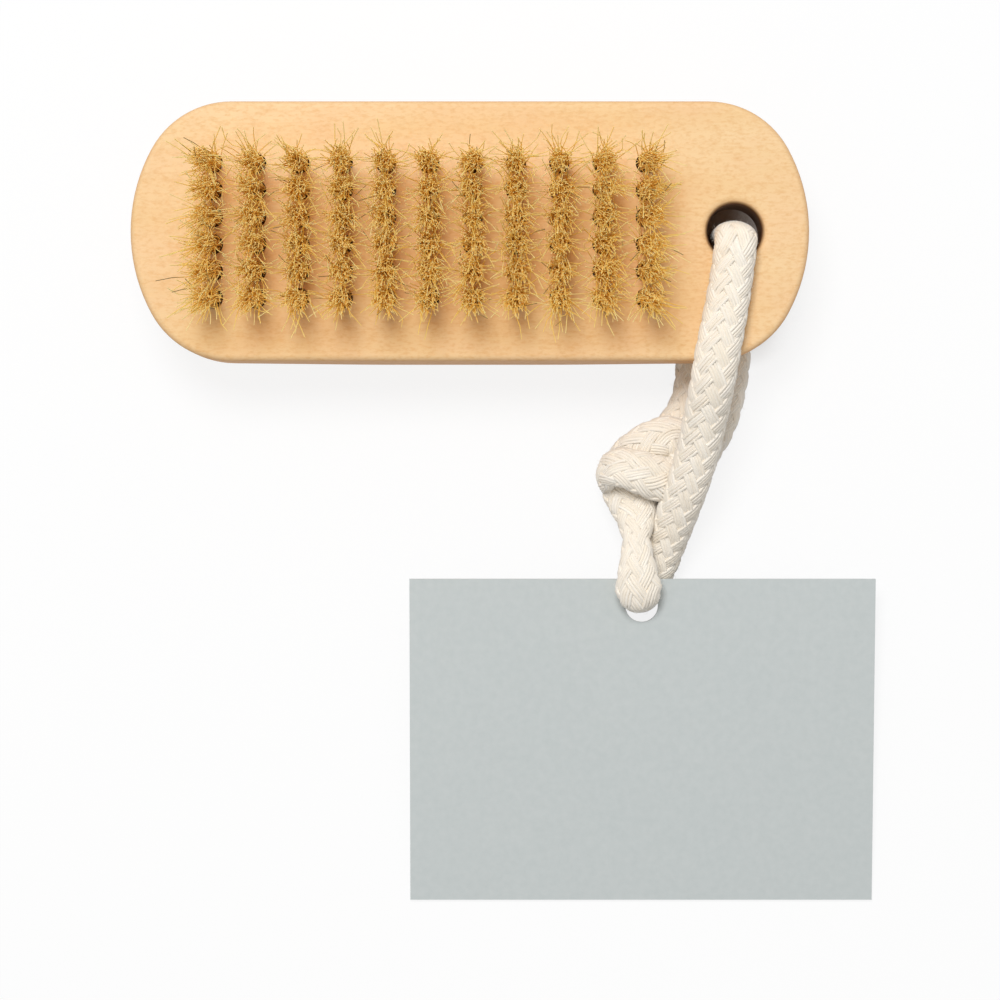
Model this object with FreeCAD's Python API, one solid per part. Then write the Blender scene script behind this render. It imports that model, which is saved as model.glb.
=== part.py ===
import FreeCAD, Part
import math
import os

# Wooden nail brush lying on its back, bristles up, with a cotton cord loop and a card tag.
# Millimetres. +X runs along the block to the end with the hanging hole, +Z is up.
# The origin is on the floor under the middle of the block.

os.makedirs("parts", exist_ok=True)

# Wooden block
block_length = 100.0
block_width = 38.3
block_thickness = 16.0
end_radius = 25.5            # blunt arc across each end
corner_radius = 13.4         # arc from the end to the long side
front_edge_round = 0.9
back_edge_round = 3.5
pad_half_length = 14.8       # where each ramp of the back would start without its blend
ramp_angle = 13.3            # rise of the back towards each end, in degrees
ramp_blend_radius = 40.0

# Hanging hole
hole_diameter = 8.0
hole_from_tip = 11.0
hole_rim_round = 1.2

# Bristle tufts: holes drilled from the front face, one tuft in each
tuft_columns = 11
tufts_per_column = 6
column_pitch = 6.37
tuft_pitch = 3.97
first_column_from_tip = 12.2 # from the end without the hole to the first column's middle
tuft_hole_diameter = 3.0
tuft_hole_depth = 8.0
tuft_clearance = 0.05        # between tuft and hole wall
tuft_tip_diameter = 3.6
trim_height = 12.0           # bristle length above the front face

# Flat wire anchors: each holds the fold of one tuft and bites into the wood
anchor_thickness = 0.4
anchor_height = 1.8
anchor_bite = 0.3            # how far each end cuts into the hole's wall
fold_thickness = 0.9         # bristles that pass under the anchor

# Cotton cord: a soft braid, drawn here as a round cord of the same section
cord_diameter = 5.0
cord_gap = 0.7               # between the cord and the front face
arc_share = 0.45             # share of the shorter run that each arc takes up
narrowing_share = 0.5        # how far along its last run the front strand narrows
in_hole_y = -0.4             # the cord leans to the side that it leaves by
squeezed_diameter = 4.0      # where the cord is drawn through the tag
knot_radius = 5.4
knot_tip_radius = 2.6

# Card tag, threaded on the cord: its top edge rides on the cord, its lower edge on the floor
tag_width = 70.2
tag_height = 49.2
tag_thickness = 0.5
tag_hole_diameter = 4.9
tag_hole_margin = 1.65       # card left between the hole and the top edge
tag_left_of_hole = 35.0      # from the hole's centre to the left edge of the card
tag_hole_x = 25.8
tag_axis_y = -52.3           # line that the tag turns about, inside the cord's bight
floor_gap = 0.1

# Values worked out from the sizes above
half_length = block_length / 2
half_width = block_width / 2
hole_x = half_length - hole_from_tip
ramp_slope = math.tan(math.radians(ramp_angle))
front_z = block_thickness
tuft_floor_z = front_z - tuft_hole_depth
anchor_z = tuft_floor_z + fold_thickness
cord_radius = cord_diameter / 2
squeezed_radius = squeezed_diameter / 2
cord_floor_z = cord_radius
cord_top_z = front_z + cord_gap + cord_radius
cord_join_z = (cord_floor_z + cord_top_z) / 2
bight_radius = tag_hole_margin / 2 + tag_hole_diameter / 2
tag_axis_z = bight_radius + squeezed_radius + floor_gap
bight_low_z = tag_axis_z - bight_radius
bight_high_z = tag_axis_z + bight_radius


def point(x, y, z=0.0):
    return FreeCAD.Vector(x, y, z)


def line(a, b):
    return Part.LineSegment(a, b).toShape()


def arc(a, middle, b):
    return Part.Arc(a, middle, b).toShape()


def save(shape, node):
    shape.exportStep("parts/" + node + ".step")
    print(node, "solids", len(shape.Solids), "volume", round(shape.Volume, 2), "valid", shape.isValid())


# Plan of the block: long sides, corner arcs and blunt end arcs, all tangent
def block_plan():
    corner_y = half_width - corner_radius
    end_x = half_length - end_radius
    centre_gap = end_radius - corner_radius
    corner_x = end_x + math.sqrt(centre_gap ** 2 - corner_y ** 2)
    join_angle = math.atan2(corner_y, corner_x - end_x)
    middle_angle = (join_angle + math.pi / 2) / 2

    def on_corner(angle, side_x, side_y):
        x = corner_x + corner_radius * math.cos(angle)
        y = corner_y + corner_radius * math.sin(angle)
        return point(side_x * x, side_y * y)

    def quarter(side_x, side_y):
        return [on_corner(angle, side_x, side_y) for angle in (math.pi / 2, middle_angle, join_angle)]

    right_top, right_low = quarter(1, 1), quarter(1, -1)
    left_top, left_low = quarter(-1, 1), quarter(-1, -1)
    edges = [
        line(left_top[0], right_top[0]),
        arc(*right_top),
        arc(right_top[2], point(half_length, 0), right_low[2]),
        arc(*reversed(right_low)),
        line(right_low[0], left_low[0]),
        arc(*left_low),
        arc(left_low[2], point(-half_length, 0), left_top[2]),
        arc(*reversed(left_top)),
    ]
    return Part.Face(Part.Wire(edges))


# Side view of the block: flat pad, a blend to each ramp, ramps that rise to the ends
def block_side():
    reach = ramp_blend_radius * math.tan(math.radians(ramp_angle) / 2)
    half_turn = math.radians(ramp_angle) / 2

    def blend(side):
        flat = point(side * (pad_half_length - reach), 0, 0)
        x = pad_half_length - reach + ramp_blend_radius * math.sin(half_turn)
        middle = point(side * x, 0, ramp_blend_radius * (1 - math.cos(half_turn)))
        run = reach * math.cos(2 * half_turn)
        rise = reach * math.sin(2 * half_turn)
        return flat, middle, point(side * (pad_half_length + run), 0, rise)

    right, left = blend(1), blend(-1)
    tip_z = (half_length - pad_half_length) * ramp_slope
    right_tip, left_tip = point(half_length, 0, tip_z), point(-half_length, 0, tip_z)
    right_top, left_top = point(half_length, 0, front_z), point(-half_length, 0, front_z)
    edges = [
        line(left[0], right[0]),
        arc(*right),
        line(right[2], right_tip),
        line(right_tip, right_top),
        line(right_top, left_top),
        line(left_top, left_tip),
        line(left_tip, left[2]),
        arc(*reversed(left)),
    ]
    return Part.Face(Part.Wire(edges))


def tuft_places():
    for column in range(tuft_columns):
        x = first_column_from_tip - half_length + column * column_pitch
        yield column + 1, [
            (x, (row - (tufts_per_column - 1) / 2) * tuft_pitch) for row in range(tufts_per_column)
        ]


def tuft_hole(x, y):
    return Part.makeCylinder(tuft_hole_diameter / 2, tuft_hole_depth, point(x, y, tuft_floor_z))


# One flat wire anchor across a tuft hole
def anchor(x, y):
    length = tuft_hole_diameter + 2 * anchor_bite
    corner = point(x - length / 2, y - anchor_thickness / 2, anchor_z)
    return Part.makeBox(length, anchor_thickness, anchor_height, corner)


# One tuft: straight in its hole, flared above the face, folded round its anchor
def tuft(x, y):
    root_radius = tuft_hole_diameter / 2 - tuft_clearance
    root = Part.makeCylinder(root_radius, tuft_hole_depth, point(x, y, tuft_floor_z))
    brush = Part.makeCone(root_radius, tuft_tip_diameter / 2, trim_height, point(x, y, front_z))
    return root.fuse(brush).removeSplitter().cut(anchor(x, y))


def hole_edges(shape):
    def on_rim(edge):
        box = edge.BoundBox
        return (
            abs(box.YLength - hole_diameter) < 0.01
            and abs(box.Center.x - hole_x) < 0.01
            and box.ZLength < hole_diameter
        )
    return [edge for edge in shape.Edges if on_rim(edge)]


def wood_block():
    prism = block_plan().extrude(point(0, 0, block_thickness))
    side = block_side()
    side.translate(point(0, -half_width, 0))
    block = prism.common(side.extrude(point(0, block_width, 0)))
    front = [e for e in block.Edges if e.BoundBox.ZMin > front_z - 0.001]
    block = block.makeFillet(front_edge_round, front)

    def on_back(edge):
        box = edge.BoundBox
        flat_across = abs(box.XLength) < 0.001 or box.YLength > half_width * 1.9
        upright = box.XLength < 0.01 and box.YLength < 0.01
        middle = edge.valueAt((edge.FirstParameter + edge.LastParameter) / 2)
        return middle.z < front_z / 1.6 and not upright and not flat_across

    block = block.makeFillet(back_edge_round, [e for e in block.Edges if on_back(e)])
    hole = Part.makeCylinder(hole_diameter / 2, block_thickness * 2, point(hole_x, 0, -block_thickness / 2))
    block = block.cut(hole)
    block = block.makeFillet(hole_rim_round, hole_edges(block))
    cutters = []
    for _, places in tuft_places():
        for x, y in places:
            cutters.append(tuft_hole(x, y))
            cutters.append(anchor(x, y))
    return block.cut(cutters)


# Straight runs joined by tangent arcs, each arc as large as its two runs allow
def rounded_route(points):
    edges = []
    start = points[0]
    for before, corner, after in zip(points, points[1:], points[2:]):
        back, on = before - corner, after - corner
        reach = arc_share * min(back.Length, on.Length)
        half_turn = (math.pi - back.getAngle(on)) / 2
        radius = reach / math.tan(half_turn)
        back.normalize()
        on.normalize()
        inwards = (back + on).normalize()
        middle = corner + inwards * (math.hypot(reach, radius) - radius)
        first, last = corner + back * reach, corner + on * reach
        edges += [line(start, first), arc(first, middle, last)]
        print("  arc radius", round(radius, 2), "turn", round(math.degrees(2 * half_turn), 1))
        start = last
    return edges + [line(start, points[-1])]


def cord(edges, radius, node):
    path = Part.Wire(edges)
    start = path.Edges[0].valueAt(path.Edges[0].FirstParameter)
    along = path.Edges[0].tangentAt(path.Edges[0].FirstParameter)
    section = Part.Wire([Part.makeCircle(radius, start, along)])
    tube = path.makePipeShell([section], True, False)
    print(node, "length", round(path.Length, 2), "volume / (section x length)",
          round(tube.Volume / (math.pi * radius ** 2 * path.Length), 4))
    save(tube, node)
    return tube


# The cord's stretches, from the hole outwards; the points are chosen along the photographed loop
front_strand_points = [
    point(hole_x, in_hole_y, cord_join_z),
    point(hole_x, in_hole_y, cord_top_z),
    point(hole_x - 0.3, -8.8, cord_top_z),
    point(hole_x - 1.4, -16.2, cord_top_z),
    point(hole_x - 2.6, -22.6, cord_top_z - 0.7),
    point(hole_x - 3.8, -27.8, 15.2),
    point(hole_x - 5.0, -32.8, 12.4),
    point(hole_x - 6.6, -38.2, 9.6),
    point(hole_x - 8.7, -43.6, 5.4),
]
back_strand_points = [
    point(hole_x, in_hole_y, cord_join_z),
    point(hole_x, in_hole_y, cord_floor_z),
    point(hole_x + 0.6, -8.9, cord_floor_z),
    point(hole_x + 0.6, -16.5, cord_floor_z),
    point(hole_x - 0.4, -23.5, cord_floor_z),
    point(hole_x - 2.8, -29.5, cord_floor_z + 0.1),
    point(hole_x - 6.2, -34.0, 3.4),
    point(hole_x - 10.2, -37.2, 4.6),
]
tail_points = [
    point(27.2, -30.8, 4.6),
    point(29.6, -26.6, 3.0),
    point(31.6, -22.8, cord_floor_z),
    point(32.8, -18.7, cord_floor_z),
]
bight_in_points = [
    front_strand_points[-1],
    point(tag_hole_x, -49.6, bight_low_z),
    point(tag_hole_x, tag_axis_y, bight_low_z),
]
bight_out_points = [
    point(tag_hole_x, tag_axis_y, bight_high_z),
    point(tag_hole_x, -47.8, bight_high_z),
    point(tag_hole_x - 0.8, -42.0, 7.2),
]
knot_start = point(26.8, -27.6, knot_radius)
knot_end = point(23.2, -43.0, knot_radius)

# The cord narrows for the tag part way along the run that leads to the bight
narrowing = front_strand_points[-1] + (bight_in_points[1] - front_strand_points[-1]) * narrowing_share
front_strand_points.append(narrowing)
bight_in_points[0] = narrowing


# The bight that goes through the tag is a half turn about the line that the tag swings on
def tag_bight():
    middle = point(tag_hole_x, tag_axis_y - bight_radius, tag_axis_z)
    turn = arc(bight_in_points[-1], middle, bight_out_points[0])
    edges = rounded_route(bight_in_points) + [turn] + rounded_route(bight_out_points)
    return cord(edges, squeezed_radius, "cord_tag_bight")


# The knot's outer shape: a barrel turned about its own length
def knot():
    length = knot_start.distanceToPoint(knot_end)
    axis_start, axis_end = point(0, 0, 0), point(length, 0, 0)
    rim_start, rim_end = point(0, 0, knot_tip_radius), point(length, 0, knot_tip_radius)
    outline = [
        line(axis_start, rim_start),
        arc(rim_start, point(length / 2, 0, knot_radius), rim_end),
        line(rim_end, axis_end),
        line(axis_end, axis_start),
    ]
    barrel = Part.Face(Part.Wire(outline)).revolve(axis_start, point(1, 0, 0), 360)
    along = knot_end - knot_start
    barrel.Placement = FreeCAD.Placement(knot_start, FreeCAD.Rotation(point(1, 0, 0), along))
    return barrel


# The card, made flat along -Y from its turning line, then tilted until its lower edge meets the floor
def tag():
    above_axis = tag_hole_margin / 2
    below_axis = tag_height - above_axis
    tilt = math.asin((tag_axis_z - tag_thickness / 2 - floor_gap) / below_axis)
    corner = point(tag_hole_x - tag_left_of_hole, -below_axis, -tag_thickness / 2)
    card = Part.makeBox(tag_width, tag_height, tag_thickness, corner)
    hole_centre = point(tag_hole_x, -bight_radius, -tag_thickness)
    card = card.cut(Part.makeCylinder(tag_hole_diameter / 2, 2 * tag_thickness, hole_centre))
    turn = FreeCAD.Rotation(point(1, 0, 0), math.degrees(tilt))
    card.Placement = FreeCAD.Placement(point(0, tag_axis_y, tag_axis_z), turn)
    return card


save(wood_block(), "wood_block")
for number, places in tuft_places():
    save(Part.makeCompound([tuft(x, y) for x, y in places]), "bristle_row_%02d" % number)
    save(Part.makeCompound([anchor(x, y) for x, y in places]), "anchor_row_%02d" % number)
cord(rounded_route(front_strand_points), cord_radius, "cord_front_strand")
cord(rounded_route(back_strand_points), cord_radius, "cord_back_strand")
cord(rounded_route(tail_points), cord_radius, "cord_tail")
tag_bight()
save(knot(), "cord_knot")
save(tag(), "hang_tag")
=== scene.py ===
# %% [markdown]
# # A wooden nail brush on a cotton cord
# The brush lies on its back with the bristles towards the camera. A knotted cord goes through the hole at
# its end and carries a card tag. The construction is already made, and it is loaded first, in metres. Hard
# pieces keep their solids and get a finish, and soft ones get a new mesh in the same place.

# %% Load the construction and keep its box
import bpy
import math
import random

import numpy as np
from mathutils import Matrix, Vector


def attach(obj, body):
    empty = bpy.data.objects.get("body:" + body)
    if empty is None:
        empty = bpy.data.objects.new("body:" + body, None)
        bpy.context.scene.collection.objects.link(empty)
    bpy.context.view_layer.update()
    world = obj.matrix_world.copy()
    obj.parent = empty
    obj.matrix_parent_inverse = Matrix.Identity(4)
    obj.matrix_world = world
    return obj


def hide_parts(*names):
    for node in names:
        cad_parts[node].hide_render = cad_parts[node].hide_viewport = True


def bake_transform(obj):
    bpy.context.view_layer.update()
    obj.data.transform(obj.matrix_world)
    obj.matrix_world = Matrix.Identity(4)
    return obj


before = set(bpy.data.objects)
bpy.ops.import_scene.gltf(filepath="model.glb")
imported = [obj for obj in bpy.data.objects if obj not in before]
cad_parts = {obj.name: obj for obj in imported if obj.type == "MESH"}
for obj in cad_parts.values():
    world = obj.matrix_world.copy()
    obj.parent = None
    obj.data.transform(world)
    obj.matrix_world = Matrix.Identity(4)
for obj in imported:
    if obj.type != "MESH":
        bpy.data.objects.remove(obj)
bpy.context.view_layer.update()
scene = bpy.context.scene
scene.view_settings.view_transform = "Standard"
MM = 0.001

# %% [markdown]
# ## The camera
# The picture is taken from straight above. A camera is often aimed by turning it, but without any turn it
# already looks down -Z with +Y up the picture, so this one only needs a place. The lens follows from two
# sizes: how high the camera stands, and how much floor the square picture takes in.

# %% Camera
CAMERA_HEIGHT = 460 * MM
FLOOR_SEEN = 152.4 * MM
PICTURE_CENTRE = (4.44 * MM, -39.6 * MM)
SENSOR = 36.0
NEAREST_SEEN = 10 * MM

camera_data = bpy.data.cameras.new("camera")
camera_data.sensor_width = SENSOR
camera_data.lens = SENSOR * CAMERA_HEIGHT / FLOOR_SEEN
camera_data.clip_start = NEAREST_SEEN
camera = bpy.data.objects.new("camera", camera_data)
camera.location = (*PICTURE_CENTRE, CAMERA_HEIGHT)
scene.collection.objects.link(camera)
scene.camera = camera
print("lens", round(camera_data.lens, 1), "mm")


# %% [markdown]
# ## Helpers for node trees
# Materials and Geometry Nodes are both trees of nodes, which one can draw by hand in an editor. In a script
# every node takes a few lines, so one helper adds a node to either kind of tree: a value that is a socket
# becomes a link, and anything else becomes the socket's own number or colour.

# %% Node helpers
def fill(tree, socket, value):
    if isinstance(value, bpy.types.NodeSocket):
        tree.links.new(value, socket)
    else:
        socket.default_value = value


def add(tree, kind, inputs=(), **settings):
    made = tree.nodes.new(kind)
    for name, value in settings.items():
        setattr(made, name, value)
    for key, value in dict(inputs).items():
        fill(tree, made.inputs[key], value)
    return made


def math_node(tree, operation, a, b=0.0):
    return add(tree, "ShaderNodeMath", {0: a, 1: b}, operation=operation).outputs[0]


def vector_node(tree, operation, a, b):
    return add(tree, "ShaderNodeVectorMath", {0: a, 1: b}, operation=operation).outputs["Vector"]


def link_object(name, mesh):
    made = bpy.data.objects.new(name, mesh)
    scene.collection.objects.link(made)
    return made


# %% [markdown]
# ## Helpers for colours
# Colours are written as in a paint program, from 0 to 255. They could be typed in as Blender keeps them, but
# Blender counts light and not screen values, so a helper makes them linear. Each new material starts from
# the Principled shader, which can stand for wood, bristle, cotton, card and steel alike.

# %% Colours and materials
BLACK = (0, 0, 0, 1)
WHITE = (1, 1, 1, 1)


def srgb(red, green, blue):
    def linear(value):
        value /= 255
        return value / 12.92 if value <= 0.04045 else ((value + 0.055) / 1.055) ** 2.4
    return (linear(red), linear(green), linear(blue), 1.0)


def material(name):
    made = bpy.data.materials.new(name)
    made.use_nodes = True
    tree = made.node_tree
    return made, tree, tree.nodes["Principled BSDF"]


print("a mid grey of 128 is", round(srgb(128, 128, 128)[0], 3), "in linear light")


# %% [markdown]
# ## Helpers for patterns
# A pattern could be a picture wrapped round the piece, but a picture has seams and one fixed sharpness. Here
# each pattern is noise on the piece's own coordinates, or a number that the mesh keeps, and a ramp or a
# range turns it into a colour or a mask.

# %% Patterns and masks
def object_place(tree):
    return add(tree, "ShaderNodeTexCoord").outputs["Object"]


def own_number(tree, name):
    """A number that the mesh keeps on each of its points."""
    return add(tree, "ShaderNodeAttribute", attribute_name=name).outputs["Fac"]


def noise(tree, vector, scale, detail=3.0, roughness=0.55):
    settings = {"Vector": vector, "Scale": scale, "Detail": detail, "Roughness": roughness}
    return add(tree, "ShaderNodeTexNoise", settings).outputs["Fac"]


def streaks(tree, vector, scale, detail=3.0):
    """Noise with a scale of its own along each axis."""
    stretched = add(tree, "ShaderNodeMapping", {"Vector": vector, "Scale": scale}).outputs["Vector"]
    return noise(tree, stretched, 1.0, detail)


def ramp(tree, factor, stops):
    made = add(tree, "ShaderNodeValToRGB", {"Fac": factor})
    elements = made.color_ramp.elements
    while len(elements) < len(stops):
        elements.new(0.5)
    for element, (place, colour) in zip(elements, stops):
        element.position = place
        element.color = colour
    return made.outputs["Color"]


def mask(tree, factor, low, high):
    """Black up to the low value, white from the high one."""
    return ramp(tree, factor, [(low, BLACK), (high, WHITE)])


def in_range(tree, value, low, high, first=0.0, last=1.0):
    """The first number up to the low value, the last one from the high value, and even between."""
    settings = {"Value": value, "From Min": low, "From Max": high, "To Min": first, "To Max": last}
    return add(tree, "ShaderNodeMapRange", settings).outputs["Result"]


# %% [markdown]
# ## Helpers for finishes
# A real surface has layers: a ground tone, then stains, flecks or wear. One big ramp could hold them all,
# but layers are easier to change, so a tint is mixed into the tone where a mask is white, one by one.
# What is the same all over, such as the roughness of card, is set straight on the shader's own socket.

# %% Layers and finishes
def mixed(tree, factor, a, b):
    made = add(tree, "ShaderNodeMix", data_type="RGBA")
    for socket, value in zip([s for s in made.inputs if s.enabled], (factor, a, b)):
        fill(tree, socket, value)
    return [s for s in made.outputs if s.enabled][0]


def tinted(tree, tone, where, share, tint):
    """The tone with a share of a tint where a mask is white."""
    return mixed(tree, math_node(tree, "MULTIPLY", where, share), tone, tint)


def finished(tree, shader, tone, constants):
    """The tone on the shader's colour, and each constant on its own socket."""
    tree.links.new(tone, shader.inputs["Base Color"])
    for name, value in constants.items():
        shader.inputs[name].default_value = value


def bump(tree, shader, height, distance, strength):
    made = add(tree, "ShaderNodeBump", {"Height": height, "Distance": distance, "Strength": strength})
    tree.links.new(made.outputs["Normal"], shader.inputs["Normal"])


def exchanged(tree, share, shader, other):
    """The material shows another shader in place of its own for a share."""
    both = add(tree, "ShaderNodeMixShader", {0: share, 1: shader.outputs[0], 2: other.outputs[0]})
    tree.links.new(both.outputs[0], tree.nodes["Material Output"].inputs["Surface"])


# %% [markdown]
# ## Floor
# The brush lies on a white floor that keeps its soft shadow. A brighter lamp could make the floor white,
# but it would bleach the pale cord too. So the floor is partly a white glow, and only for what the camera
# and shiny surfaces see, which puts no more light on the brush. The glow would also light the floor that
# the hanging hole shows, so close to the hole it fades, and where the block covers the floor a dark
# painted shade is put on it.

# %% Floor
FLOOR_REACH = 2.0
FLOOR_LEVEL = -0.05 * MM
FLOOR_GLOW = 0.85
FLOOR_PAPER = (0.93, 0.93, 0.93, 1)
# painted shade: dark brown for the floor that the block covers near the hanging hole
PAINTED_SHADE_PAPER = srgb(104, 82, 64)
HOLE_CENTRE = (39 * MM, 0, 0)
SHADE_ENDS = (10 * MM, 20 * MM)
SKY_REACH = 25 * MM
SKY_SAMPLES = 16
SKY_SEEN = (0.28, 0.62)


def from_hole(tree, place):
    made = add(tree, "ShaderNodeVectorMath", {0: place, 1: HOLE_CENTRE}, operation="DISTANCE")
    return made.outputs["Value"]


def white_floor():
    made, tree, shader = material("white_floor")
    beyond = in_range(tree, from_hole(tree, object_place(tree)), *SHADE_ENDS)
    sky = add(tree, "ShaderNodeAmbientOcclusion", {"Distance": SKY_REACH}, samples=SKY_SAMPLES)
    uncovered = in_range(tree, sky.outputs["AO"], *SKY_SEEN)
    open_floor = math_node(tree, "MAXIMUM", beyond, uncovered)
    # painted shade: where the block covers the floor near the hole, its colour turns dark brown
    finished(tree, shader, mixed(tree, open_floor, PAINTED_SHADE_PAPER, FLOOR_PAPER), {"Roughness": 0.9})
    rays = add(tree, "ShaderNodeLightPath").outputs
    seen = math_node(tree, "MAXIMUM", rays["Is Camera Ray"], rays["Is Glossy Ray"])
    seen = math_node(tree, "MAXIMUM", seen, rays["Is Transmission Ray"])
    share = math_node(tree, "MULTIPLY", math_node(tree, "MULTIPLY", seen, FLOOR_GLOW), open_floor)
    exchanged(tree, share, shader, add(tree, "ShaderNodeEmission", {"Color": WHITE, "Strength": 1.0}))
    return made


floor_mesh = bpy.data.meshes.new("floor")
floor_sides = ((-1, -1), (1, -1), (1, 1), (-1, 1))
floor_corners = [(x * FLOOR_REACH, y * FLOOR_REACH, FLOOR_LEVEL) for x, y in floor_sides]
floor_mesh.from_pydata(floor_corners, [], [(0, 1, 2, 3)])
floor_mesh.materials.append(white_floor())
floor = link_object("floor", floor_mesh)
print("floor", 2 * FLOOR_REACH, "m wide")

# %% [markdown]
# ## Light
# The shadows are soft and fall a little down the picture and to the right, as from one broad window. A sun
# or point lamp would draw them too sharp, so the lamp is a disk with a size, above the brush and aimed at
# it. The world's even white fills the shadows.

# %% Lamp and world
LAMP_PLACE = Vector((-0.09, 0.25, 0.66))
LAMP_TARGET = Vector((0.005, -0.03, 0.0))
LAMP_SIZE = 0.3
LAMP_POWER = 3.35
ROOM_LIGHT = 0.44

lamp_data = bpy.data.lights.new("window_lamp", "AREA")
lamp_data.shape = "DISK"
lamp_data.size = LAMP_SIZE
lamp_data.energy = LAMP_POWER
lamp = bpy.data.objects.new("window_lamp", lamp_data)
lamp.location = LAMP_PLACE
lamp.rotation_euler = (LAMP_TARGET - LAMP_PLACE).to_track_quat("-Z", "Y").to_euler()
scene.collection.objects.link(lamp)

world = bpy.data.worlds.new("soft_room")
world.use_nodes = True
world.node_tree.nodes["Background"].inputs["Color"].default_value = WHITE
world.node_tree.nodes["Background"].inputs["Strength"].default_value = ROOM_LIGHT
scene.world = world
print("lamp", LAMP_POWER, "W and room light", ROOM_LIGHT)


# %% [markdown]
# ## Pale wood
# The block is sanded pale wood with a straight, quiet grain along its length. A picture of wood would have
# to be unwrapped, and its grain would break at the edges. Noise on object coordinates, stretched along X,
# runs through the block as real grain does. Four layers of it are mixed: long soft bands, warm clouds,
# short flecks and thin fibres. The rounded edge has a deeper tone, a painted shade where the faces turn
# away from level, and the wall of the hanging hole is painted dark, as shade that falls inside it.

# %% Wood material
LONG_BANDS = (16, 170, 170)
WARM_CLOUDS = (70, 120, 120)
SHORT_FLECKS = (1150, 2400, 2400)
THIN_FIBRES = (160, 2600, 2600)
BAND_TONES = [(0.3, srgb(240, 202, 148)), (0.7, srgb(246, 213, 165))]
CLOUD_TINT = srgb(242, 197, 151)
FLECK_TINT = srgb(226, 174, 112)
FIBRE_TINT = srgb(230, 180, 120)
# painted shade: a deeper tone on the rounded edges, where the faces turn away from level
EDGE_SHADE_TINT = srgb(210, 154, 98)
# painted shade: a dark tone on the wall of the hanging hole, where shade falls inside it
HOLE_SHADE_TONE = srgb(96, 62, 34)
DRILLED_WALL = (4.05 * MM, 4.5 * MM)
WOOD_ROUGHNESS = (0.5, 0.64)
GRAIN_DEPTH = 0.04 * MM


def pale_wood():
    made, tree, shader = material("pale_wood")
    place = object_place(tree)
    flecks = streaks(tree, place, SHORT_FLECKS)
    fibres = streaks(tree, place, THIN_FIBRES)
    tone = ramp(tree, streaks(tree, place, LONG_BANDS), BAND_TONES)
    warm = mask(tree, streaks(tree, place, WARM_CLOUDS), 0.4, 0.75)
    tone = tinted(tree, tone, warm, 0.6, CLOUD_TINT)
    tone = tinted(tree, tone, mask(tree, flecks, 0.45, 0.8), 0.65, FLECK_TINT)
    tone = tinted(tree, tone, mask(tree, fibres, 0.52, 0.8), 0.28, FIBRE_TINT)
    normal = add(tree, "ShaderNodeNewGeometry").outputs["True Normal"]
    upright = math_node(tree, "ABSOLUTE", add(tree, "ShaderNodeSeparateXYZ", {0: normal}).outputs["Z"])
    # painted shade: the more a face turns from level, the more of the deeper edge tone it gets
    edge_shade = ramp(tree, upright, [(0.1, WHITE), (0.97, BLACK)])
    tone = tinted(tree, tone, edge_shade, 0.8, EDGE_SHADE_TINT)
    level = vector_node(tree, "MULTIPLY", place, (1, 1, 0))
    # painted shade: the wall of the hanging hole is coloured dark
    hole_shade = in_range(tree, from_hole(tree, level), *DRILLED_WALL, 1.0, 0.0)
    finished(tree, shader, mixed(tree, hole_shade, tone, HOLE_SHADE_TONE), {"Specular IOR Level": 0.25})
    tree.links.new(in_range(tree, flecks, 0.0, 1.0, *WOOD_ROUGHNESS), shader.inputs["Roughness"])
    grain = math_node(tree, "ADD", fibres, math_node(tree, "MULTIPLY", flecks, 0.6))
    bump(tree, shader, grain, GRAIN_DEPTH, 0.3)
    return made


def dress(node, paint):
    """A node of the construction with one material."""
    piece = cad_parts[node]
    piece.data.materials.clear()
    piece.data.materials.append(paint)
    return piece


print("wood on", dress("wood_block", pale_wood()).name)


# %% [markdown]
# ## Bristles: what each one draws
# Each tuft is a bundle of natural bristles that stands in a drilled hole and spreads towards its trimmed
# end. A particle system could grow them as hair, but hair isn't a mesh that can be exported. Geometry Nodes
# give real tubes. First, every tuft's point is copied once for each bristle, and each copy draws its own
# place in the hole, lean, curl, length and tone from seeded random numbers. Most bristles stay near their
# tuft, and a few strays lean far out.

# %% Helpers for Geometry Nodes
VECTOR = "FLOAT_VECTOR"
LEAST, MOST, POINT, SEED = 2, 3, 7, 8


def chance(tree, given, number, low=0.0, high=1.0):
    """A random number for each point. Random Value has sockets of many types, so they go by number."""
    index = add(tree, "GeometryNodeInputIndex").outputs[0]
    seed = math_node(tree, "ADD", given["Seed"], float(number))
    settings = {LEAST: low, MOST: high, POINT: index, SEED: seed}
    return add(tree, "FunctionNodeRandomValue", settings, data_type="FLOAT").outputs[1]


def compass(tree, angle, length):
    """A level vector from its angle and length."""
    across = math_node(tree, "MULTIPLY", math_node(tree, "COSINE", angle), length)
    upward = math_node(tree, "MULTIPLY", math_node(tree, "SINE", angle), length)
    return add(tree, "ShaderNodeCombineXYZ", {0: across, 1: upward}).outputs[0]


def scaled(tree, vector, factor):
    made = add(tree, "ShaderNodeVectorMath", {0: vector, "Scale": factor}, operation="SCALE")
    return made.outputs["Vector"]


def noted(tree, geometry, name, value, kind="FLOAT"):
    """The geometry with a value kept on each point under a name."""
    made = add(tree, "GeometryNodeStoreNamedAttribute", {"Geometry": geometry, "Name": name},
               data_type=kind, domain="POINT")
    tree.links.new(value, [s for s in made.inputs if s.name == "Value" and s.enabled][0])
    return made.outputs[0]


def recalled(tree, name, kind="FLOAT"):
    made = add(tree, "GeometryNodeInputNamedAttribute", {"Name": name}, data_type=kind)
    return [s for s in made.outputs if s.enabled][0]


# %% Bristle points
ALL_ROUND = (0.0, 2 * math.pi)
STRAY_POWER = 2.8
OUTWARD_SHARE = (0.2, 1.6)
CURL = (0.1 * MM, 0.85 * MM)
REACH = (0.8, 1.03)
CRIMP = (4.0, 11.0)


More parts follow.
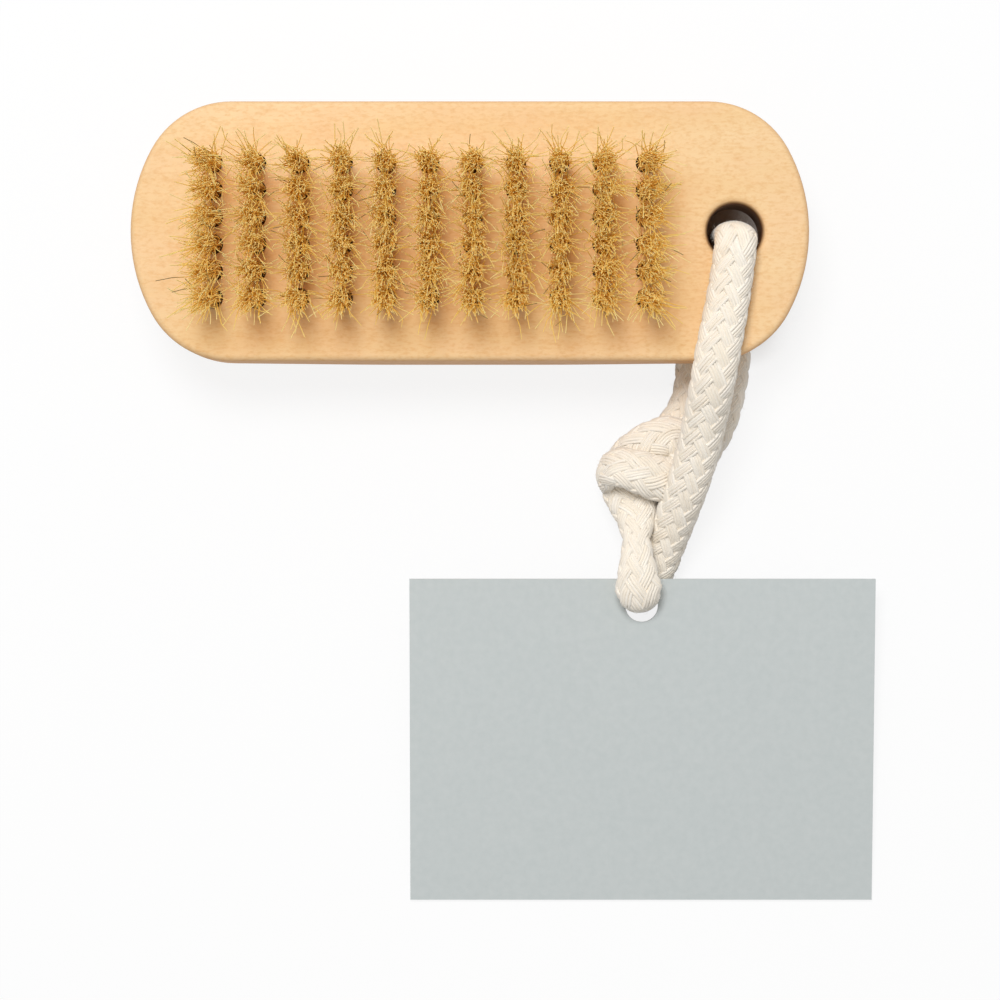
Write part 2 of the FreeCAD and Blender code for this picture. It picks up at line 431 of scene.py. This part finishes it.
def bristle_points(tree, given):
    points = add(tree, "GeometryNodeMeshToPoints", {"Mesh": given["Geometry"]}).outputs[0]
    copies = add(tree, "GeometryNodeDuplicateElements", {"Geometry": points, "Amount": given["Bristles"]},
                 domain="POINT").outputs[0]
    turn = chance(tree, given, 1, *ALL_ROUND)
    inward = math_node(tree, "SQRT", chance(tree, given, 2))
    root = compass(tree, turn, math_node(tree, "MULTIPLY", inward, given["Hole Radius"]))
    fan = compass(tree, turn, math_node(tree, "MULTIPLY", inward, given["Spread"]))
    rare = math_node(tree, "POWER", chance(tree, given, 3), STRAY_POWER)
    far = math_node(tree, "MULTIPLY", rare, given["Stray"])
    stray = compass(tree, chance(tree, given, 4, *ALL_ROUND), far)
    outward = scaled(tree, recalled(tree, "outward", VECTOR), chance(tree, given, 5, *OUTWARD_SHARE))
    lean = vector_node(tree, "ADD", vector_node(tree, "ADD", fan, stray), outward)
    curl = compass(tree, chance(tree, given, 6, *ALL_ROUND), chance(tree, given, 7, *CURL))
    copies = add(tree, "GeometryNodeSetPosition", {"Geometry": copies, "Offset": root}).outputs[0]
    place = add(tree, "GeometryNodeInputPosition").outputs[0]
    for name, vector in (("root", place), ("lean", lean), ("curl", curl)):
        copies = noted(tree, copies, name, vector, VECTOR)
    copies = noted(tree, copies, "reach", chance(tree, given, 8, *REACH))
    copies = noted(tree, copies, "crimp", chance(tree, given, 10, *CRIMP))
    return noted(tree, copies, "tone", chance(tree, given, 9))


# %% [markdown]
# ## Bristles: bending them
# A short straight line is set on every point and bent to the shape that the point drew: it starts in the
# hole, leans more and more towards its end, and waves a little. Moving the line's points by a formula is
# quicker than a simulation and gives the same bristle each time. The line then gets a thin section of four
# sides, which is enough for something under 0.2 mm across and keeps the mesh small.

# %% Bristle lines
LINE_POINTS = 8
BEND_POWER = 2.6


def bent_lines(tree, given, points):
    line = add(tree, "GeometryNodeCurvePrimitiveLine").outputs[0]
    line = add(tree, "GeometryNodeResampleCurve", {"Curve": line, "Count": LINE_POINTS}).outputs[0]
    placed = add(tree, "GeometryNodeInstanceOnPoints", {"Points": points, "Instance": line}).outputs[0]
    lines = add(tree, "GeometryNodeRealizeInstances", {"Geometry": placed}).outputs[0]
    along = add(tree, "GeometryNodeSplineParameter").outputs["Factor"]
    lines = noted(tree, lines, "along", along)
    bend = math_node(tree, "POWER", along, BEND_POWER)
    sway = math_node(tree, "SINE", math_node(tree, "MULTIPLY", along, recalled(tree, "crimp")))
    wave = math_node(tree, "MULTIPLY", sway, along)
    height = math_node(tree, "MULTIPLY", given["Height"], recalled(tree, "reach"))
    rise = math_node(tree, "ADD", given["Depth"], height)
    rise = math_node(tree, "SUBTRACT", math_node(tree, "MULTIPLY", rise, along), given["Depth"])
    place = recalled(tree, "root", VECTOR)
    for shift in (
        scaled(tree, recalled(tree, "lean", VECTOR), bend),
        scaled(tree, recalled(tree, "curl", VECTOR), wave),
        add(tree, "ShaderNodeCombineXYZ", {2: rise}).outputs[0],
    ):
        place = vector_node(tree, "ADD", place, shift)
    return add(tree, "GeometryNodeSetPosition", {"Geometry": lines, "Position": place}).outputs[0]


# %% Bristle node tree
BRISTLE_SIDES = 4
TIP_TAPER = 0.2
BRISTLE_INPUTS = (
    ("Geometry", "Geometry"), ("Bristles", "Int"), ("Seed", "Int"), ("Hole Radius", "Float"),
    ("Depth", "Float"), ("Height", "Float"), ("Spread", "Float"), ("Stray", "Float"),
    ("Thickness", "Float"), ("Material", "Material"),
)


def bristle_tree():
    tree = bpy.data.node_groups.new("bristle_row", "GeometryNodeTree")
    for name, kind in BRISTLE_INPUTS:
        tree.interface.new_socket(name, in_out="INPUT", socket_type="NodeSocket" + kind)
    tree.interface.new_socket("Geometry", in_out="OUTPUT", socket_type="NodeSocketGeometry")
    given = add(tree, "NodeGroupInput").outputs
    lines = bent_lines(tree, given, bristle_points(tree, given))
    along = add(tree, "GeometryNodeSplineParameter").outputs["Factor"]
    taper = math_node(tree, "SUBTRACT", 1.0, math_node(tree, "MULTIPLY", along, TIP_TAPER))
    radius = math_node(tree, "MULTIPLY", taper, given["Thickness"])
    ring = add(tree, "GeometryNodeCurvePrimitiveCircle", {"Resolution": BRISTLE_SIDES, "Radius": 1.0})
    tubes = add(tree, "GeometryNodeCurveToMesh", {
        "Curve": lines, "Profile Curve": ring.outputs[0], "Scale": radius, "Fill Caps": True})
    whole = add(tree, "GeometryNodeRealizeInstances", {"Geometry": tubes.outputs[0]}).outputs[0]
    painted = add(tree, "GeometryNodeSetMaterial", {"Geometry": whole, "Material": given["Material"]})
    add(tree, "NodeGroupOutput", {0: painted.outputs[0]})
    return tree


bristle_nodes = bristle_tree()
print("bristle tree nodes", len(bristle_nodes.nodes))


# %% [markdown]
# ## Bristle colour
# Natural bristle is golden brown, paler towards the tip and deeper at the root, and a few in each tuft are
# dark brown towards the end. A material for each bristle would be thousands, so one material reads two
# numbers that the tree left on the mesh: the bristle's own tone, and the way along it. Such thin bristles
# let light through. Real see-through tubes would be slow, so only their shadows let light go on, tinted
# gold, and a golden sheen brightens their sides.

# %% Bristle material
GOLDS = [(0.0, srgb(252, 200, 78)), (0.5, srgb(255, 228, 112)), (0.9, srgb(255, 244, 176))]
ROOT_GOLD = srgb(250, 190, 80)
PALE_TIP = srgb(244, 222, 168)
DARK_BROWN = srgb(52, 38, 26)
DARK_SHARE = 0.03
GOLD_SHADOW = (0.84, 0.72, 0.42, 1)
GOLD_SHEEN = (1.0, 0.7, 0.26, 1)


def natural_bristle():
    made, tree, shader = material("natural_bristle")
    own = own_number(tree, "tone")
    along = own_number(tree, "along")
    body = ramp(tree, own, GOLDS)
    root = mixed(tree, 0.4, body, ROOT_GOLD)
    tone = mixed(tree, mask(tree, along, 0.35, 0.8), root, body)
    # the last part of each bristle turns paler towards the tip
    tone = tinted(tree, tone, mask(tree, along, 0.82, 1.0), 0.45, PALE_TIP)
    dark = math_node(tree, "LESS_THAN", own, DARK_SHARE)
    dark_end = math_node(tree, "MULTIPLY", dark, mask(tree, along, 0.72, 0.82))
    finished(tree, shader, mixed(tree, dark_end, tone, DARK_BROWN), {
        "Roughness": 0.42, "Specular IOR Level": 0.3,
        "Sheen Weight": 1.0, "Sheen Roughness": 0.6, "Sheen Tint": GOLD_SHEEN,
    })
    shadow = add(tree, "ShaderNodeLightPath").outputs["Is Shadow Ray"]
    exchanged(tree, shadow, shader, add(tree, "ShaderNodeBsdfTransparent", {"Color": GOLD_SHADOW}))
    return made


bristle_paint = natural_bristle()
print("bristle material nodes", len(bristle_paint.node_tree.nodes))


# %% [markdown]
# ## Bristles: the rows
# The brush has eleven rows of six tufts, at the pitch of the drilled holes. All could grow in one mesh, but
# each row is a piece of its own in the construction, so the tree runs once for each row and the result
# becomes a plain mesh. The tufts at the ends and sides lean outwards, as on a used brush, and all of them
# have settled a little towards -Y.

# %% Tuft places
ROWS = 11
TUFTS = 6
ROW_PITCH = 6.37 * MM
TUFT_PITCH = 3.97 * MM
FIELD_CENTRE_X = -5.95 * MM
FACE_Z = 16 * MM
OUTWARD_X = 0.9 * MM
OUTWARD_X_POWER = 5
OUTWARD_Y = 0.3 * MM
OUTWARD_Y_POWER = 3
SETTLE_Y = -0.9 * MM


def tuft_places(number):
    """Loose points on the holes of one row, each with the lean of its tuft."""
    last_row = (ROWS - 1) / 2
    last_tuft = (TUFTS - 1) / 2
    row = number - last_row
    places, leans = [], []
    for tuft in np.arange(TUFTS) - last_tuft:
        places.append((FIELD_CENTRE_X + row * ROW_PITCH, tuft * TUFT_PITCH, FACE_Z))
        lean_x = OUTWARD_X * (row / last_row) ** OUTWARD_X_POWER
        leans.append((lean_x, OUTWARD_Y * (tuft / last_tuft) ** OUTWARD_Y_POWER + SETTLE_Y, 0))
    seeds = bpy.data.meshes.new("tuft_places")
    seeds.from_pydata(places, [], [])
    layer = seeds.attributes.new("outward", VECTOR, "POINT")
    layer.data.foreach_set("vector", np.array(leans).ravel())
    return seeds


# %% Bristle rows
FIRST_SEED = 11
SEED_STEP = 40
BRISTLE_SIZES = {
    "Bristles": 150, "Hole Radius": 1.28 * MM, "Depth": 2.0 * MM, "Height": 12.0 * MM, "Spread": 0.4 * MM,
    "Stray": 4.7 * MM, "Thickness": 0.078 * MM, "Material": bristle_paint,
}


def bristle_mesh(number):
    grower = link_object("bristle_grower", tuft_places(number))
    modifier = grower.modifiers.new("bristles", "NODES")
    modifier.node_group = bristle_nodes
    chosen = dict(BRISTLE_SIZES, Seed=SEED_STEP * number + FIRST_SEED)
    for socket in bristle_nodes.interface.items_tree:
        if socket.in_out == "INPUT" and socket.name in chosen:
            modifier[socket.identifier] = chosen[socket.name]
    evaluated = grower.evaluated_get(bpy.context.evaluated_depsgraph_get())
    mesh = bpy.data.meshes.new_from_object(evaluated)
    bpy.data.objects.remove(grower)
    mesh.polygons.foreach_set("use_smooth", [True] * len(mesh.polygons))
    return mesh


bristle_faces = 0
for number in range(ROWS):
    row_mesh = bristle_mesh(number)
    row_mesh.name = "bristles_%02d" % (number + 1)
    row = link_object(row_mesh.name, row_mesh)
    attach(row, "brush")
    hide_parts("bristle_row_%02d" % (number + 1))
    bristle_faces += len(row_mesh.polygons)
print("bristle faces", bristle_faces)


# %% [markdown]
# ## Cord: the route
# The cord is one length of braided cotton. It starts as a cut tail under the block's edge, ties an
# overhand knot, goes down through the tag's hole, comes back under the tag, runs up over the block, through
# the hanging hole, and under the block back into the knot. A simulation could drop a cord, but it wouldn't
# tie this knot, so the points below are the corners of that way. A NURBS curve of order 3 turns them into
# one smooth line that never swings out past its corners.

# %% Cord corners
TAIL = [(33.7, -17.6, 2.2), (33.6, -21.6, 2.2)]
KNOT = [
    (32.8, -25.4, 2.3), (30.4, -29.0, 2.5), (26.8, -32.8, 2.4), (24.2, -35.8, 2.4), (21.8, -37.2, 2.8),
    (20.2, -35.8, 6.0), (21.6, -34.4, 9.0), (24.8, -35.2, 9.4), (28.2, -36.6, 8.6), (31.4, -36.2, 6.6),
    (32.4, -32.8, 6.0), (30.4, -29.6, 7.2), (26.6, -31.2, 7.4), (23.6, -34.2, 5.6), (24.1, -38.8, 5.2),
    (24.9, -42.0, 6.0), (24.9, -45.4, 7.2),
]
TAG_BIGHT = [
    (25.0, -49.2, 8.3), (25.1, -52.6, 8.5), (25.6, -54.9, 8.0), (25.8, -54.9, 2.2), (27.0, -52.6, 2.0),
]
FRONT_STRAND = [
    (28.4, -49.6, 2.6), (29.6, -45.8, 4.6), (31.0, -41.6, 7.4), (32.4, -37.4, 10.0), (33.8, -32.6, 12.0),
    (34.8, -27.4, 14.4), (35.6, -22.6, 17.4), (36.3, -18.0, 18.3), (37.5, -12.0, 18.3), (38.5, -6.0, 18.3),
    (39.1, -0.6, 18.6), (39.1, -0.4, 10.8),
]
BACK_STRAND = [
    (39.0, -0.4, 2.3), (39.2, -7.0, 2.2), (39.4, -13.0, 2.2), (39.4, -18.5, 2.2), (38.6, -23.5, 2.3),
    (37.2, -28.5, 2.3), (34.2, -33.2, 2.4), (30.6, -38.0, 3.0), (27.4, -42.6, 3.4),
]
CORD_CORNERS = TAIL + KNOT + TAG_BIGHT + FRONT_STRAND + BACK_STRAND
print("corners of the cord's way", len(CORD_CORNERS))

# %% Cord route
CURVE_ORDER = 3
CURVE_STEPS = 16


def smooth_line(name, points):
    curve = bpy.data.curves.new(name, "CURVE")
    curve.dimensions = "3D"
    curve.resolution_u = CURVE_STEPS
    spline = curve.splines.new("NURBS")
    spline.points.add(len(points) - 1)
    for place, (x, y, z) in zip(spline.points, points):
        place.co = (x * MM, y * MM, z * MM, 1)
    spline.order_u = CURVE_ORDER
    spline.use_endpoint_u = True
    holder = bpy.data.objects.new(name, curve)
    mesh = bpy.data.meshes.new_from_object(holder)
    line = np.array([v.co for v in mesh.vertices])
    bpy.data.meshes.remove(mesh)
    bpy.data.objects.remove(holder)
    bpy.data.curves.remove(curve)
    return line


def lengths_along(line):
    return np.concatenate([[0], np.cumsum(np.linalg.norm(np.diff(line, axis=0), axis=1))])


route = smooth_line("cord_route", CORD_CORNERS)

# %% [markdown]
# ## Cord: its soft oval section
# A soft cotton braid isn't round: it lies flat on what carries it. A curve's own bevel has one section for
# the whole length, so the section is worked out step by step instead. At each step it has a wide direction
# and a thin one. The wide direction is carried along without twist, and eased back to level wherever the
# cord lies level. Its width and thickness change where it is squeezed, as in the tag's hole, or spread, as
# over the tag's edge.

# %% Section sizes along the cord
CORD_WIDTH = 6.2 * MM
CORD_THICKNESS = 4.2 * MM
STEP = 0.62 * MM
SECTIONS = [
    ((33.7, -17.6, 2.2), 5.2, 4.2), ((30.4, -29.0, 2.5), 5.4, 4.0), ((20.2, -35.8, 6.0), 5.6, 3.6),
    ((24.8, -35.2, 9.4), 6.6, 3.6), ((28.2, -36.6, 8.6), 7.0, 3.6), ((32.4, -32.8, 6.0), 6.0, 3.8),
    ((26.6, -31.2, 7.4), 6.8, 3.6), ((24.0, -38.6, 5.2), 8.6, 4.2), ((24.9, -45.4, 7.2), 4.2, 4.4),
    ((25.0, -49.2, 8.3), 5.6, 4.0), ((25.2, -53.0, 8.4), 7.2, 3.6), ((25.8, -54.9, 5.2), 4.8, 3.4),
    ((27.0, -52.6, 2.0), 5.8, 3.8), ((31.0, -41.6, 7.4), 6.4, 4.2),
    ((36.3, -18.0, 18.3), 6.8, 4.2), ((38.6, -6.0, 18.3), 6.4, 4.2),
]


def spaced(line, step):
    """Points at even steps along a line, and how far along each one is."""
    along = lengths_along(line)
    at = np.linspace(0, along[-1], int(round(along[-1] / step)) + 1)
    return np.stack([np.interp(at, along, line[:, k]) for k in range(3)], axis=1), at


def section_sizes(points, at):
    """Half widths and half thicknesses, from the sections nearest to each point."""
    gaps = [np.linalg.norm(points - np.array(place) * MM, axis=1) for place, _, _ in SECTIONS]
    known = [at[np.argmin(gap)] for gap in gaps] + [at[-1]]
    widths = [width * MM for _, width, _ in SECTIONS] + [CORD_WIDTH]
    thicknesses = [thickness * MM for _, _, thickness in SECTIONS] + [CORD_THICKNESS]
    return np.interp(at, known, widths) / 2, np.interp(at, known, thicknesses) / 2


centres, at = spaced(route, STEP)
half_width, half_thickness = section_sizes(centres, at)
print("cord width", round(2 * half_width.min() / MM, 1), "to", round(2 * half_width.max() / MM, 1), "mm")

# %% Section directions along the cord
LEVEL_PULL = 0.12
UP = np.array([0.0, 0.0, 1.0])


def unit(vector):
    return vector / np.linalg.norm(vector, axis=-1, keepdims=True)


def section_frames(points):
    along = unit(np.gradient(points, axis=0))
    wide = [unit(np.cross(UP, along[0]))]
    for direction in along[1:]:
        carried = unit(wide[-1] - direction * np.dot(wide[-1], direction))
        level = np.cross(UP, direction)
        pull = LEVEL_PULL * np.dot(level, level)
        sign = 1.0 if np.dot(level, carried) >= 0 else -1.0
        carried = carried * (1 - pull) + sign * level * pull
        wide.append(unit(carried - direction * np.dot(carried, direction)))
    wide = np.array(wide)
    return along, wide, np.cross(along, wide)


along, wide, thin = section_frames(centres)
print("sections along the cord", len(centres))

# %% [markdown]
# ## Cord: the braid
# Eight carriers of four soft yarns go round the cord one way and eight the other, two over and two under.
# With that rule the carriers of one direction are always on top in fixed sectors round the cord, which
# makes the rows of V shapes that run along it. A bump in the material could hint at that, but the outline
# would stay smooth, so each yarn is a thin tube whose centre follows the oval, riding up where it is over
# and down where it is under. A plain core in the darkest tone of the yarns fills the inside.

# %% Places and tubes on the cord
OVAL_STEPS = 256


def oval_angles(fraction):
    """Angles whose points are evenly spaced round an oval of the cord's usual shape."""
    angle = np.linspace(0, 2 * np.pi, OVAL_STEPS + 1)
    edge = np.stack([CORD_WIDTH * np.cos(angle), CORD_THICKNESS * np.sin(angle)], axis=1)
    walked = lengths_along(edge)
    return np.interp(np.mod(fraction, 1.0), walked / walked[-1], angle)


def on_cord(angle, inset):
    across = (half_width + inset) * np.cos(angle)
    through = (half_thickness + inset) * np.sin(angle)
    return centres + wide * across[:, None] + thin * through[:, None]


def tube(points, radius, sides):
    """Rings of vertices round a line of points, one for each section of the cord."""
    forward = unit(np.gradient(points, axis=0))
    outward = points - centres
    outward = unit(outward - forward * (outward * forward).sum(1)[:, None])
    sideways = np.cross(forward, outward)
    turn = np.linspace(0, 2 * np.pi, sides, endpoint=False)[None, :, None]
    rings = points[:, None] + radius * (np.cos(turn) * outward[:, None] + np.sin(turn) * sideways[:, None])
    return rings.reshape(-1, 3)


def tube_faces(count, sides):
    """Quads between rings of vertices, with a cap at each end."""
    quads = [
        (r * sides + k, r * sides + (k + 1) % sides, (r + 1) * sides + (k + 1) % sides, (r + 1) * sides + k)
        for r in range(count - 1) for k in range(sides)
    ]
    caps = [tuple(range(sides))[::-1], tuple((count - 1) * sides + k for k in range(sides))]
    return quads + caps


# %% Yarns and core
CARRIERS = 8
YARNS_PER_CARRIER = 4
V_PITCH = 2.9 * MM
YARN_RADIUS = 0.31 * MM
YARN_SIDES = 4
YARN_TONES = (0.2, 1.0)
OVER_HEIGHT = 0.17 * MM
OVER_SHARPNESS = 1.5
CROSSINGS_IN_TURN = 4
FIRST_TURN = 0.125
WANDER = 0.004
WANDER_LENGTHS = (4, 9)
WANDER_STARTS = (0, 6.3)
CORE_SIDES = 16
CORE_INSET = -(2 * YARN_RADIUS + OVER_HEIGHT)
CORE_TONE = 0.0
BRAID_SEED = 7


def yarn_line(way, carrier, yarn, wander):
    """The centre of one yarn, which takes turns of two crossings over and two under."""
    spread = (yarn - (YARNS_PER_CARRIER - 1) / 2) / (CARRIERS * YARNS_PER_CARRIER)
    middle = carrier / CARRIERS + way * at / (CARRIERS * V_PITCH)
    turns = (2 * CARRIERS * middle - 0.5) / CROSSINGS_IN_TURN
    ride = np.clip(OVER_SHARPNESS * np.cos(2 * np.pi * turns) * way, -1, 1)
    inset = OVER_HEIGHT * (ride - 1) - YARN_RADIUS
    return on_cord(oval_angles(middle + spread + wander + FIRST_TURN), inset)


def core():
    """Rings of vertices of the oval inside of the cord, just under the yarns."""
    turns = np.linspace(0, 2 * np.pi, CORE_SIDES, endpoint=False)
    return np.stack([on_cord(turn, CORE_INSET) for turn in turns], axis=1).reshape(-1, 3)


def braid():
    """Each yarn and the core as its rings of vertices, number of sides and tone."""
    drawn = random.Random(BRAID_SEED)
    tubes = []
    for way in (1, -1):
        for carrier in range(CARRIERS):
            for yarn in range(YARNS_PER_CARRIER):
                waves = at / (drawn.uniform(*WANDER_LENGTHS) * MM)
                wander = WANDER * np.sin(waves + drawn.uniform(*WANDER_STARTS))
                rings = tube(yarn_line(way, carrier, yarn, wander), YARN_RADIUS, YARN_SIDES)
                tubes.append((rings, YARN_SIDES, drawn.uniform(*YARN_TONES)))
    return tubes + [(core(), CORE_SIDES, CORE_TONE)]


# %% Cord mesh
def mesh_from(name, vertices, faces, tones):
    mesh = bpy.data.meshes.new(name)
    mesh.from_pydata(vertices.tolist(), [], faces)
    mesh.polygons.foreach_set("use_smooth", [True] * len(mesh.polygons))
    mesh.validate()
    mesh.attributes.new("tone", "FLOAT", "POINT").data.foreach_set("value", tones)
    return mesh


def braid_mesh():
    vertices, faces, tones = [], [], []
    first = 0
    for rings, sides, tone in braid():
        faces.extend(tuple(first + i for i in face) for face in tube_faces(len(centres), sides))
        vertices.append(rings)
        tones.append(np.full(len(rings), tone))
        first += len(rings)
    return mesh_from("cotton_cord", np.concatenate(vertices), faces, np.concatenate(tones))


cord = link_object("cotton_cord", braid_mesh())
print("cord triangles", sum(len(p.vertices) - 2 for p in cord.data.polygons))


# %% [markdown]
# ## Cotton
# Undyed cotton is a warm off-white, and no two yarns are quite the same. A plain colour would look like
# plastic, so each yarn has its own tone on the mesh, faint stains cross it, and fine fibres show as a soft
# bump.

# %% Cotton material
COTTON_FIBRES = 2600.0
COTTON_STAINS = 240.0
COTTON_TONES = [(0.0, srgb(250, 240, 224)), (1.0, srgb(255, 249, 239))]
STAIN_TINT = srgb(244, 230, 208)
SHADE_TINT = srgb(238, 222, 196)
COTTON_DEPTH = 0.1 * MM


def undyed_cotton():
    made, tree, shader = material("undyed_cotton")
    place = object_place(tree)
    fibres = noise(tree, place, COTTON_FIBRES, 3.0, 0.6)
    stain = noise(tree, place, COTTON_STAINS, 2.0)
    tone = ramp(tree, own_number(tree, "tone"), COTTON_TONES)
    tone = tinted(tree, tone, stain, 0.25, STAIN_TINT)
    tone = tinted(tree, tone, fibres, 0.15, SHADE_TINT)
    finished(tree, shader, tone, {"Roughness": 0.9, "Specular IOR Level": 0.1, "Sheen Weight": 0.5})
    bump(tree, shader, fibres, COTTON_DEPTH, 0.5)
    return made


cotton_paint = undyed_cotton()
cord.data.materials.append(cotton_paint)
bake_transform(cord)
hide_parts("cord_front_strand", "cord_back_strand", "cord_tag_bight", "cord_knot", "cord_tail")
print("cotton on", cord.name)

# %% [markdown]
# ## Cord: loose fibres
# Soft-spun cotton sheds short fibres that stand off the braid and blur its outline. Hair could stand in for
# them, but the export needs a mesh, so each one is a thin bent thread of three sides that starts just under
# the surface and leans along the cord or across it.

# %% Fibre fuzz
FIBRES = 1400
FIBRE_SEED = 23
FIBRE_RADIUS = 0.022 * MM
FIBRE_SIDES = 3
FIBRE_STEPS = (0.0, 0.35, 0.7, 1.0)
FIBRE_TAPER = 0.2
FIBRE_DROOP = 0.55
FIBRE_DEPTH = 0.25 * MM
FIBRE_TONE = 0.8
FIBRE_REACH = (0.5, 1.5)
FIBRE_ALONG = (-1, 1)
FIBRE_ACROSS = (-0.8, 0.8)
BARE_SECTIONS = 3


def fibre(drawn):
    """Rings of vertices of one thread at a random place on the cord."""
    ring = drawn.randrange(BARE_SECTIONS, len(centres) - BARE_SECTIONS)
    angle = drawn.uniform(0, 2 * math.pi)
    out = wide[ring] * math.cos(angle) + thin[ring] * math.sin(angle)
    start = centres[ring] + wide[ring] * half_width[ring] * math.cos(angle)
    start = start + thin[ring] * half_thickness[ring] * math.sin(angle) - out * FIBRE_DEPTH
    drift = along[ring] * drawn.uniform(*FIBRE_ALONG)
    drift = drift + np.cross(along[ring], out) * drawn.uniform(*FIBRE_ACROSS)
    reach = drawn.uniform(*FIBRE_REACH) * MM
    side = np.cross(out, along[ring])
    corners = []
    for step, t in enumerate(FIBRE_STEPS):
        place = start + out * reach * (t - FIBRE_DROOP * t * t) + drift * reach * t
        radius = FIBRE_RADIUS * (1 - FIBRE_TAPER * step)
        for corner in range(FIBRE_SIDES):
            turn = 2 * math.pi * corner / FIBRE_SIDES
            corners.append(place + radius * (side * math.cos(turn) + along[ring] * math.sin(turn)))
    return corners


def fuzz_mesh():
    drawn = random.Random(FIBRE_SEED)
    outward_faces = [face[::-1] for face in tube_faces(len(FIBRE_STEPS), FIBRE_SIDES)]
    vertices, faces = [], []
    for _ in range(FIBRES):
        faces.extend(tuple(len(vertices) + i for i in face) for face in outward_faces)
        vertices.extend(fibre(drawn))
    return mesh_from("cord_fuzz", np.array(vertices), faces, [FIBRE_TONE] * len(vertices))


fuzz = link_object("cord_fuzz", fuzz_mesh())
fuzz.data.materials.append(cotton_paint)
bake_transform(fuzz)
print("loose fibres", FIBRES)


# %% [markdown]
# ## Tag card
# The tag is plain uncoated card in a cool grey, left bare. One flat colour would look like plastic, and a
# picture of card would repeat, so two sizes of noise give the fine mottle of pulp and faint clouds.

# %% Tag material
CARD_PULP = 900.0
CARD_CLOUDS = 60.0
CARD_TONES = [(0.3, srgb(198, 204, 203)), (0.7, srgb(204, 209, 208))]
CARD_TINT = srgb(195, 203, 203)
PULP_DEPTH = 0.03 * MM


def tag_card():
    made, tree, shader = material("tag_card")
    place = object_place(tree)
    pulp = noise(tree, place, CARD_PULP, 4.0)
    tone = ramp(tree, pulp, CARD_TONES)
    tone = tinted(tree, tone, noise(tree, place, CARD_CLOUDS, 2.0), 0.3, CARD_TINT)
    finished(tree, shader, tone, {"Roughness": 0.75, "Specular IOR Level": 0.2})
    bump(tree, shader, pulp, PULP_DEPTH, 0.25)
    return made


print("card on", dress("hang_tag", tag_card()).name)


# %% [markdown]
# ## Anchor wire
# The flat wire that holds each tuft is inside the block, where no view shows it. It keeps its solid and
# gets a plain drawn steel, with streaks along X, so that a cut through the brush would look right.

# %% Anchor material
DRAWN_STREAKS = (400, 4000, 4000)
STEEL_TONES = [(0.3, srgb(150, 152, 155)), (0.7, srgb(190, 192, 194))]


def anchor_wire():
    made, tree, shader = material("anchor_wire")
    tone = ramp(tree, streaks(tree, object_place(tree), DRAWN_STREAKS, 2.0), STEEL_TONES)
    finished(tree, shader, tone, {"Metallic": 1.0, "Roughness": 0.35})
    return made


wire = anchor_wire()
for number in range(ROWS):
    dress("anchor_row_%02d" % (number + 1), wire)
print("wire on", ROWS, "anchor rows")
